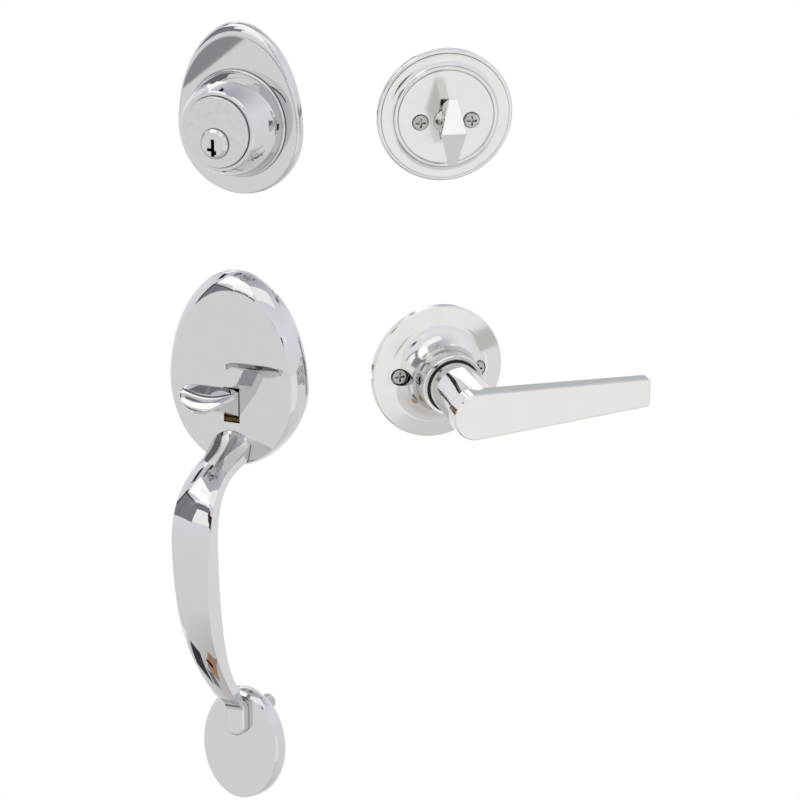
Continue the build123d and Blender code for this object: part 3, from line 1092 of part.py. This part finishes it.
def lever_screws():
    length = LEVER_SCREW_REACH + LEVER_SCREW_SEAT
    inward = screw(THROUGH_HEAD_RADIUS, THROUGH_HEAD_HEIGHT, THROUGH_SCREW_RADIUS, length)
    return each(Pos(0, 0, LEVER_SCREW_SEAT) * inward, LEVER_SCREW_PLACES)


# The set as it is laid out

def unit_frame(place, yaw, lean=0):
    """A unit's frame: x to its right, y up and z out of the door, turned and leaned forward."""
    return Pos(*place) * Rot(0, 0, yaw) * Rot(90 + lean, 0, 0)


UNITS = [
    (unit_frame((DEADBOLT_SHIFT, 0, DEADBOLT_RISE), 0),
     [deadbolt_trim, deadbolt_collar, cylinder_housing, key_plug, key_pins, driver_pins, pin_springs,
      chamber_cover, plug_clip, tailpiece, deadbolt_backplate, deadbolt_posts, cylinder_screws]),
    (unit_frame((0, 0, 0), 0),
     [grip_plate, thumbpiece, thumbpiece_pin, chassis, chassis_screws, lift_cam, cam_ring, cam_spring,
      latch_spindle, threaded_posts, pull_grip, grip_screws, grip_base, base_post]),
    (unit_frame(TURN_UNIT_PLACE, TURN_UNIT_YAW, INSIDE_LEAN),
     [turn_rose, turn_plate, thumbturn, turn_washer, turn_ring, turn_screws]),
    (unit_frame(LEVER_UNIT_PLACE, LEVER_UNIT_YAW, INSIDE_LEAN),
     [lever_rose, rose_bush, lever_plate, lever_handle, lever_hub, lever_spring, lever_ring,
      lever_catch, lever_screws]),
]

os.makedirs("parts", exist_ok=True)
for frame, pieces in UNITS:
    for make in pieces:
        shape = make()
        solids = shape if isinstance(shape, list) else [shape]
        placed = Compound([solid for one in solids for solid in (frame * one).solids()])
        export_step(placed, f"parts/{make.__name__}.step")
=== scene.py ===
"""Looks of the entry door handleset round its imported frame: camera, studio and finishes."""
import math

import bpy
from mathutils import Matrix, Quaternion, Vector


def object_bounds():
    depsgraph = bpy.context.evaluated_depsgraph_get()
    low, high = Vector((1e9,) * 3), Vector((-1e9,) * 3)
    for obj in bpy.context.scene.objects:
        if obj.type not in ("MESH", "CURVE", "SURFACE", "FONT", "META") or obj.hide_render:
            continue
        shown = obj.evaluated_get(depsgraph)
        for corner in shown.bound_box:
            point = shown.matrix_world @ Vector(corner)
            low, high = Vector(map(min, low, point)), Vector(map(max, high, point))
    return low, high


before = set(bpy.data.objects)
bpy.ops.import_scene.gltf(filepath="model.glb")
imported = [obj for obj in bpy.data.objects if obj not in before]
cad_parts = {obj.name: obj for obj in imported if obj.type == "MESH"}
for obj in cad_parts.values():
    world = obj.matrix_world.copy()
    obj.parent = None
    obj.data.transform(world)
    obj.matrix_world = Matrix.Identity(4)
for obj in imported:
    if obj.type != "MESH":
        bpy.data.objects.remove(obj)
cad_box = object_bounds()

# Camera: a long lens a little above the set and to its right, as the photograph was taken.
# Its axes are worked out from the angles, and its place from where the spindle's axis shows.
CAMERA_AZIMUTH = math.radians(26.0)
CAMERA_ELEVATION = math.radians(15.5)
CAMERA_ROLL = math.radians(-0.4)
CAMERA_DISTANCE = 3.0
METRES_PER_PIXEL = 0.475e-3
PICTURE_SIZE = 800
SPINDLE_PIXEL = (240.7, 378.0)
SENSOR_WIDTH = 36.0             # millimetres, as for the lens
CLIP_END = 20.0

focal_pixels = CAMERA_DISTANCE / METRES_PER_PIXEL
back = Vector((math.sin(CAMERA_AZIMUTH) * math.cos(CAMERA_ELEVATION),
               -math.cos(CAMERA_AZIMUTH) * math.cos(CAMERA_ELEVATION),
               math.sin(CAMERA_ELEVATION)))
level_right = Vector((math.cos(CAMERA_AZIMUTH), math.sin(CAMERA_AZIMUTH), 0))
level_up = back.cross(level_right)
right = level_right * math.cos(CAMERA_ROLL) + level_up * math.sin(CAMERA_ROLL)
up = level_up * math.cos(CAMERA_ROLL) - level_right * math.sin(CAMERA_ROLL)
across = (SPINDLE_PIXEL[0] - PICTURE_SIZE / 2) / focal_pixels
rise = (PICTURE_SIZE / 2 - SPINDLE_PIXEL[1]) / focal_pixels

lens = bpy.data.cameras.new("camera")
lens.sensor_width = SENSOR_WIDTH
lens.lens = SENSOR_WIDTH * focal_pixels / PICTURE_SIZE
lens.clip_end = CLIP_END
camera = bpy.data.objects.new("camera", lens)
bpy.context.scene.collection.objects.link(camera)
turn = Matrix((right, up, back)).transposed().to_4x4()
camera.matrix_world = Matrix.Translation((back - across * right - rise * up) * CAMERA_DISTANCE) @ turn
bpy.context.scene.camera = camera
bpy.context.scene.view_settings.view_transform = "Standard"


# Studio: a white room all round, which is white to the eye and lights the set evenly. Polished metal
# sees the same room by its own shades, a little greyer overhead and underfoot, so that it has form.
def linear(hex_colour):
    """An sRGB hex colour as the linear red, green, blue and alpha that a socket takes."""
    values = [int(hex_colour[i:i + 2], 16) / 255 for i in (1, 3, 5)]
    return [v / 12.92 if v <= 0.04045 else ((v + 0.055) / 1.055) ** 2.4 for v in values] + [1.0]


def add(tree, kind, inputs=None, **settings):
    """Adds a node with its settings; an input is a value or another node's output socket."""
    node = tree.nodes.new(kind)
    for name, value in settings.items():
        setattr(node, name, value)
    for name, value in (inputs or {}).items():
        if isinstance(value, bpy.types.NodeSocket):
            tree.links.new(value, node.inputs[name])
        else:
            node.inputs[name].default_value = value
    return node


ROOM_STOPS = ((0.00, "#B4B0AE"), (0.08, "#C0BEBE"), (0.20, "#CFCFD0"), (0.44, "#D3D3D3"),
              (0.52, "#D4D4D9"), (0.70, "#D8D8DD"), (0.86, "#CDCDD3"), (1.00, "#A8A8B0"))
ROOM_STRENGTH = 1.55

world = bpy.data.worlds.new("studio_room")
bpy.context.scene.world = world
world.use_nodes = True
room = world.node_tree
room.nodes.clear()
direction = add(room, "ShaderNodeTexCoord").outputs["Generated"]
parts = add(room, "ShaderNodeSeparateXYZ", {"Vector": direction})
height = add(room, "ShaderNodeMapRange", {"Value": parts.outputs["Z"], "From Min": -1.0, "From Max": 1.0})
walls = add(room, "ShaderNodeValToRGB", {"Fac": height.outputs["Result"]})
ramp = walls.color_ramp
while len(ramp.elements) < len(ROOM_STOPS):
    ramp.elements.new(0.5)
for stop, (place, colour) in zip(ramp.elements, ROOM_STOPS):
    stop.position = place
    stop.color = linear(colour)
seen_room = add(room, "ShaderNodeBackground", {"Color": walls.outputs["Color"], "Strength": ROOM_STRENGTH})
plain = add(room, "ShaderNodeBackground", {"Color": linear("#FFFFFF"), "Strength": 1.0})
path = add(room, "ShaderNodeLightPath")
mixed = add(room, "ShaderNodeMixShader", {0: path.outputs["Is Glossy Ray"], 1: plain.outputs[0],
                                          2: seen_room.outputs[0]})
add(room, "ShaderNodeOutputWorld", {"Surface": mixed.outputs[0]})

# Boards round the set, which only its polish sees, as a photographer hangs them: white boxes
# overhead, grey walls at the horizon, dark flags for streaks, and a table's edge far below. Each has
# its angle round from the front, height angle, width and height in degrees, distance in metres,
# colour and strength.
BOARDS = (
    ("box_front", -36, 58, 56, 24, 2.6, "#FFFFFF", 1.6),        # white on the grip's shoulder
    ("box_front_low", -12, 29, 32, 32, 2.6, "#FFFFFF", 1.3),    # white on the upper rims
    ("box_back", -164, 43, 62, 24, 2.6, "#FFFFFF", 1.5),        # white along the left rims
    ("box_right", 44, 58, 44, 24, 2.6, "#FFFFFF", 1.3),         # white over the right rims
    ("low_right_sweep", 52, -22, 66, 34, 2.6, "#FFFFFF", 1.15),     # bright faces of the inside trim
    ("low_right_shade", 52, -50, 60, 22, 2.6, "#EDEDED", 1.0),      # their slightly greyer lower parts
    ("wall_left", -50, 26, 50, 27, 2.2, "#98949C", 1.0),        # grey band across the grip's bend
    ("wall_left_end", -77, 26, 5, 27, 2.1, "#48403E", 1.0),     # dark end of that band
    ("wall_left_sill", -50, 39, 50, 2, 2.1, "#5A5254", 1.0),    # dark line over it
    ("wall_left_post", -58, 26, 1.5, 27, 2.1, "#7B767C", 1.0),  # thin line in it
    ("wall_front_rail", -10, 36, 28, 9, 2.1, "#8E8B92", 1.0),   # right end of that band
    ("door_edge", 6, 20, 4, 30, 2.3, "#3A2A24", 1.0),           # dark line down the grip's edge
    ("wall_back", -150, 20, 40, 18, 2.4, "#D0D4D8", 1.0),       # grey on the lever arm's top
    ("flag_left", -104, 44, 19, 8, 2.3, "#3A3430", 1.0),        # dark streaks in the grip's root
    ("flag_back", -134, 33, 5, 9, 2.3, "#4F494B", 1.0),         # dark end of the collar's highlight
    ("flag_overhead", -105, 65, 14, 6, 2.3, "#84848C", 1.0),    # grey on the plate's top
    ("flag_root", -126, 66, 6, 7, 2.3, "#241F1B", 1.0),         # black spot in the grip's root
    ("table_rim", -95, -47, 34, 5, 2.4, "#FFFFFF", 1.2),        # white over the table's shade
    ("table_shade", -90, -57, 20, 10, 2.4, "#48434A", 1.0),     # dark band at the grip's lower end
    ("table_far", -98, -67, 8, 7, 2.4, "#84848C", 1.0),         # grey beside it
    ("table_top", -62, -73, 16, 10, 2.4, "#B79479", 1.0),       # brown streak beside it
    ("table_gap", -66, -70, 3, 7, 2.3, "#241A14", 1.0),         # black line in the brown
)


def toward(azimuth, elevation):
    """The direction of an angle round from the front and a height angle, in degrees."""
    a, e = math.radians(azimuth), math.radians(elevation)
    return Vector((math.sin(a) * math.cos(e), -math.cos(a) * math.cos(e), math.sin(e)))


def hang_sheet(name, place, turned, wide, tall, colour, strength):
    """Hangs a glowing sheet that mirrors see, and neither the camera nor anything matt."""
    bpy.ops.object.select_all(action="DESELECT")
    bpy.ops.mesh.primitive_plane_add(size=1, location=place, rotation=turned.to_euler())
    sheet = bpy.context.object
    sheet.name = name
    sheet.scale = (wide, tall, 1)
    sheet.visible_camera = False
    sheet.visible_diffuse = False
    sheet.visible_shadow = False
    sheet.visible_transmission = False
    light = bpy.data.materials.new(name)
    light.use_nodes = True
    light.node_tree.nodes.clear()
    glow = add(light.node_tree, "ShaderNodeEmission", {"Color": linear(colour), "Strength": strength})
    add(light.node_tree, "ShaderNodeOutputMaterial", {"Surface": glow.outputs[0]})
    sheet.data.materials.append(light)


for name, azimuth, elevation, wide, tall, distance, colour, strength in BOARDS:
    way = toward(azimuth, elevation)
    board_wide = 2 * distance * math.tan(math.radians(wide / 2))
    board_tall = 2 * distance * math.tan(math.radians(tall / 2))
    hang_sheet(name, way * distance, way.to_track_quat("-Z", "Y"), board_wide, board_tall, colour, strength)

# Small cards stand close to one piece each, so that little else mirrors them. Each has the point
# that mirrors it, its angles from there, its own roll in degrees, its width and height, colour and
# strength. Places and sizes are in metres.
CARD_DISTANCE = 0.25
CARDS = (
    # Lilac grey corner of the deadbolt's trim
    ("trim_card", (-0.0139, -0.005, 0.1658), -28, -12, -38, 0.062, 0.03, "#A6A5AB", 1.0),
    # White crescent on top of its collar
    ("collar_card", (0.0, -0.01, 0.15), -12, 35, 0, 0.17, 0.07, "#FFFFFF", 1.5),
    # Dark side and white upper face of the thumbturn
    ("turn_dark_card", (0.09, 0.024, 0.126), 32, -10, 0, 0.044, 0.044, "#1B1B1D", 1.0),
    ("turn_white_card", (0.098, 0.02, 0.13), 48, -5, 0, 0.03, 0.03, "#FFFFFF", 1.35),
)
for name, point, azimuth, elevation, roll, wide, tall, colour, strength in CARDS:
    way = toward(azimuth, elevation)
    turned = way.to_track_quat("-Z", "Y") @ Quaternion((0, 0, 1), math.radians(roll))
    hang_sheet(name, Vector(point) + way * CARD_DISTANCE, turned, wide, tall, colour, strength)

# Floor: white paper well below the set, matt to light and plain white to the eye.
FLOOR_BELOW = 0.25
FLOOR_SIZE = 30.0
FLOOR_COLOUR = "#F4F4F4"
bpy.ops.object.select_all(action="DESELECT")
bpy.ops.mesh.primitive_plane_add(size=FLOOR_SIZE, location=(0, 0, cad_box[0].z - FLOOR_BELOW))
floor = bpy.context.object
floor.name = "floor"
floor.visible_glossy = False
paper = bpy.data.materials.new("white_paper_sweep")
paper.use_nodes = True
sweep = paper.node_tree
sweep.nodes.clear()
matt = add(sweep, "ShaderNodeBsdfDiffuse", {"Color": linear(FLOOR_COLOUR)})
glow = add(sweep, "ShaderNodeEmission", {"Color": linear("#FFFFFF"), "Strength": 1.0})
seen = add(sweep, "ShaderNodeLightPath")
blend = add(sweep, "ShaderNodeMixShader", {0: seen.outputs["Is Camera Ray"], 1: matt.outputs[0],
                                           2: glow.outputs[0]})
add(sweep, "ShaderNodeOutputMaterial", {"Surface": blend.outputs[0]})
floor.data.materials.append(paper)

# Outside trim: zinc castings, buffed and chromium plated. The plate is hard, blue-grey and mirror
# bright, with faint wipe marks and the slight ripple that hand buffing leaves.
MILLIMETRE = 0.001
CHROME_LIGHT = "#CFCFD0"
CHROME_DARK = "#CBCBCC"
CHROME_ROUGHNESS = 0.035
WIPE_SIZE = 9.0 * MILLIMETRE
BUFF_SIZE = 14.0 * MILLIMETRE
BUFF_DEPTH = 0.004 * MILLIMETRE
# Every metal piece shades its edges as if they were this round. It also has painted shade in its grooves
# and seats: its colour is darkened there towards a dark shade, as far as ambient occlusion finds them
# hemmed in.
EDGE_ROUND = 0.45 * MILLIMETRE
EDGE_SAMPLES = 4
PAINTED_SHADE_REACH = 1.0 * MILLIMETRE
PAINTED_SHADE_SAMPLES = 6
PAINTED_SHADE_FULL_AO = 0.2
PAINTED_SHADE_NONE_AO = 0.78
PAINTED_GROOVE_SHADE = "#3A3634"
# Marks are noise that stays between these values nearly everywhere. Where it is low the gloss is at
# its best, and where it is high at its worst, as shares of the finish's roughness.
MARK_LOW = 0.3
MARK_HIGH = 0.7
MARK_DETAIL = 5.0
MARK_GRAIN = 0.6
GLOSS_BEST = 0.6
GLOSS_WORST = 1.5
RIPPLE_DETAIL = 2.0


def metal(name, light, dark, roughness, mark_size, ripple_size, ripple_depth):
    """A metal finish: two near shades and mottled gloss in marks, painted shade in grooves and seats, over
    a ripple in the surface.
    """
    material = bpy.data.materials.new(name)
    material.use_nodes = True
    tree = material.node_tree
    tree.nodes.clear()
    place = add(tree, "ShaderNodeTexCoord").outputs["Object"]
    marks = add(tree, "ShaderNodeTexNoise", {"Vector": place, "Scale": 1 / mark_size, "Detail": MARK_DETAIL,
                                             "Roughness": MARK_GRAIN}).outputs["Fac"]
    gloss = add(tree, "ShaderNodeMapRange", {"Value": marks, "From Min": MARK_LOW, "From Max": MARK_HIGH,
                                             "To Min": roughness * GLOSS_BEST,
                                             "To Max": roughness * GLOSS_WORST})
    shade = add(tree, "ShaderNodeMix", {0: marks, 6: linear(light), 7: linear(dark)}, data_type="RGBA")
    # Painted shade: ambient occlusion darkens the colour towards a dark shade in grooves, seats and between
    # parts, where shade falls.
    occlusion = add(tree, "ShaderNodeAmbientOcclusion", {"Distance": PAINTED_SHADE_REACH}, samples=PAINTED_SHADE_SAMPLES)
    unshaded_share = add(tree, "ShaderNodeMapRange", {"Value": occlusion.outputs["AO"], "From Min": PAINTED_SHADE_FULL_AO,
                                             "From Max": PAINTED_SHADE_NONE_AO})
    painted_shade_mix = add(tree, "ShaderNodeMix", {0: unshaded_share.outputs["Result"], 6: linear(PAINTED_GROOVE_SHADE),
                                          7: shade.outputs[2]}, data_type="RGBA")
    ripple = add(tree, "ShaderNodeTexNoise", {"Vector": place, "Scale": 1 / ripple_size,
                                              "Detail": RIPPLE_DETAIL})
    eased = add(tree, "ShaderNodeBevel", {"Radius": EDGE_ROUND}, samples=EDGE_SAMPLES)
    bump = add(tree, "ShaderNodeBump", {"Height": ripple.outputs["Fac"], "Distance": ripple_depth,
                                        "Strength": 1.0, "Normal": eased.outputs["Normal"]})
    shader = add(tree, "ShaderNodeBsdfPrincipled", {"Base Color": painted_shade_mix.outputs[2], "Metallic": 1.0,
                                                    "Roughness": gloss.outputs["Result"],
                                                    "Normal": bump.outputs["Normal"]})
    add(tree, "ShaderNodeOutputMaterial", {"Surface": shader.outputs[0]})
    return material


def finish_nodes(material, names):
    """Gives the named solids a finish, in every material slot."""
    for name in names:
        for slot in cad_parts[name].material_slots:
            slot.material = material


chromium = metal("buffed_chromium_plate", CHROME_LIGHT, CHROME_DARK, CHROME_ROUGHNESS, WIPE_SIZE,
                 BUFF_SIZE, BUFF_DEPTH)
finish_nodes(chromium, ["grip_plate", "thumbpiece", "pull_grip", "grip_base", "deadbolt_trim",
                        "deadbolt_collar"])

# Lock cylinder: turned brass with a chromium plate, drier than the castings, with turning marks that
# soften its reflections. They are drawn coarser than the real ones, which are too fine to show.
FACE_LIGHT = "#D3D3D5"
FACE_DARK = "#C6C6C9"
FACE_ROUGHNESS = 0.16
TURNING_SIZE = 0.9 * MILLIMETRE
TURNING_DEPTH = 0.0008 * MILLIMETRE
turned_face = metal("turned_chromium_plate", FACE_LIGHT, FACE_DARK, FACE_ROUGHNESS, 3 * TURNING_SIZE,
                    TURNING_SIZE, TURNING_DEPTH)
finish_nodes(turned_face, ["cylinder_housing", "key_plug"])

# Inside trim: a cast lever and thumbturn with the same plate from another bath, a little warmer and
# whiter than on the outside set.
NICKEL_LIGHT = "#DBDAD8"
NICKEL_DARK = "#D5D3D0"
NICKEL_ROUGHNESS = 0.05
warm_plate = metal("bright_nickel_chromium_plate", NICKEL_LIGHT, NICKEL_DARK, NICKEL_ROUGHNESS, WIPE_SIZE,
                   BUFF_SIZE, BUFF_DEPTH)
finish_nodes(warm_plate, ["thumbturn", "lever_handle", "lever_catch"])

# Inside roses: pressed from sheet and plated without a second buffing, so they mirror softly. Their
# rims snap over the steel plates behind them.
ROSE_ROUGHNESS = 0.13
rose_plate = metal("pressed_nickel_chromium_plate", NICKEL_LIGHT, NICKEL_DARK, ROSE_ROUGHNESS, WIPE_SIZE,
                   BUFF_SIZE, BUFF_DEPTH)
finish_nodes(rose_plate, ["turn_rose", "lever_rose"])

# Screws and the lower base's stud: cold-headed steel with rolled threads and a bright plate, which
# handling leaves in grey spots.
SCREW_LIGHT = "#D0CDC9"
SCREW_DARK = "#8F8C89"
SCREW_ROUGHNESS = 0.22
SCREW_MARK = 1.2 * MILLIMETRE
SCREW_RIPPLE_DEPTH = 0.004 * MILLIMETRE
screw_plate = metal("plated_screw_steel", SCREW_LIGHT, SCREW_DARK, SCREW_ROUGHNESS, SCREW_MARK,
                    SCREW_MARK, SCREW_RIPPLE_DEPTH)
finish_nodes(screw_plate, ["turn_screws", "lever_screws", "chassis_screws", "grip_screws",
                           "cylinder_screws", "base_post"])

# Works behind the trim: zinc-plated steel and raw zinc castings, dull blue-grey with a crystalline
# mottle and the fine skin of the mould.
ZINC_LIGHT = "#B9BDC0"
ZINC_DARK = "#94999E"
ZINC_ROUGHNESS = 0.36
ZINC_MARK = 3.5 * MILLIMETRE
ZINC_SKIN = 0.6 * MILLIMETRE
ZINC_SKIN_DEPTH = 0.012 * MILLIMETRE
zinc = metal("zinc_plated_steel", ZINC_LIGHT, ZINC_DARK, ZINC_ROUGHNESS, ZINC_MARK, ZINC_SKIN,
             ZINC_SKIN_DEPTH)
finish_nodes(zinc, ["threaded_posts", "deadbolt_backplate", "deadbolt_posts", "turn_plate",
                    "lever_plate", "lever_hub", "tailpiece", "latch_spindle"])

# Latch works behind the plate: a pressed box and its cast hub, zinc plated and passivated yellow,
# a brown gold that shows in the thumbpiece's slot.
PASSIVE_LIGHT = "#A98C5A"
PASSIVE_DARK = "#7D6038"
passivated = metal("yellow_passivated_zinc", PASSIVE_LIGHT, PASSIVE_DARK, ZINC_ROUGHNESS, ZINC_MARK,
                   ZINC_SKIN, ZINC_SKIN_DEPTH)
finish_nodes(passivated, ["chassis", "lift_cam"])

# Springs, rings and pins: drawn spring steel, dark and oily, with the die's marks in the wire. They
# are drawn coarser than the real ones, which are too fine to show.
STEEL_LIGHT = "#8C8D90"
STEEL_DARK = "#5E6064"
STEEL_ROUGHNESS = 0.3
DIE_LINE = 0.5 * MILLIMETRE
DIE_LINE_DEPTH = 0.004 * MILLIMETRE
spring_steel = metal("drawn_spring_steel", STEEL_LIGHT, STEEL_DARK, STEEL_ROUGHNESS, 4 * DIE_LINE,
                     DIE_LINE, DIE_LINE_DEPTH)
finish_nodes(spring_steel, ["thumbpiece_pin", "cam_ring", "cam_spring", "pin_springs", "plug_clip",
                            "turn_washer", "turn_ring", "lever_spring", "lever_ring"])

# Lock pins and their cover: free-cutting brass, yellow, with tool marks that are drawn coarser than
# the real ones.
BRASS_LIGHT = "#D6B56D"
BRASS_DARK = "#B3924C"
BRASS_ROUGHNESS = 0.28
TOOL_MARK = 0.4 * MILLIMETRE
TOOL_MARK_DEPTH = 0.003 * MILLIMETRE
brass = metal("machined_brass", BRASS_LIGHT, BRASS_DARK, BRASS_ROUGHNESS, 4 * TOOL_MARK, TOOL_MARK,
              TOOL_MARK_DEPTH)
finish_nodes(brass, ["key_pins", "driver_pins", "chamber_cover"])

# Bush in the lever's rose: black moulded nylon, which shows as the dark ring round the neck. The
# mould's spark-eroded grain keeps it dull, and is drawn coarser than the real one.
NYLON_LIGHT = "#26262A"
NYLON_DARK = "#17171A"
NYLON_ROUGHNESS = 0.5
NYLON_IOR = 1.53
GRAIN_SIZE = 0.5 * MILLIMETRE
GRAIN_DEPTH = 0.02 * MILLIMETRE
GRAIN_DETAIL = 3.0
nylon = bpy.data.materials.new("moulded_black_nylon")
nylon.use_nodes = True
moulding = nylon.node_tree
moulding.nodes.clear()
spot = add(moulding, "ShaderNodeTexCoord").outputs["Object"]
grain = add(moulding, "ShaderNodeTexNoise", {"Vector": spot, "Scale": 1 / GRAIN_SIZE,
                                             "Detail": GRAIN_DETAIL}).outputs["Fac"]
black = add(moulding, "ShaderNodeMix", {0: grain, 6: linear(NYLON_LIGHT), 7: linear(NYLON_DARK)},
            data_type="RGBA")
pitted = add(moulding, "ShaderNodeBump", {"Height": grain, "Distance": GRAIN_DEPTH})
dull = add(moulding, "ShaderNodeBsdfPrincipled", {"Base Color": black.outputs[2], "IOR": NYLON_IOR,
                                                  "Roughness": NYLON_ROUGHNESS,
                                                  "Normal": pitted.outputs["Normal"]})
add(moulding, "ShaderNodeOutputMaterial", {"Surface": dull.outputs[0]})
finish_nodes(nylon, ["rose_bush"])
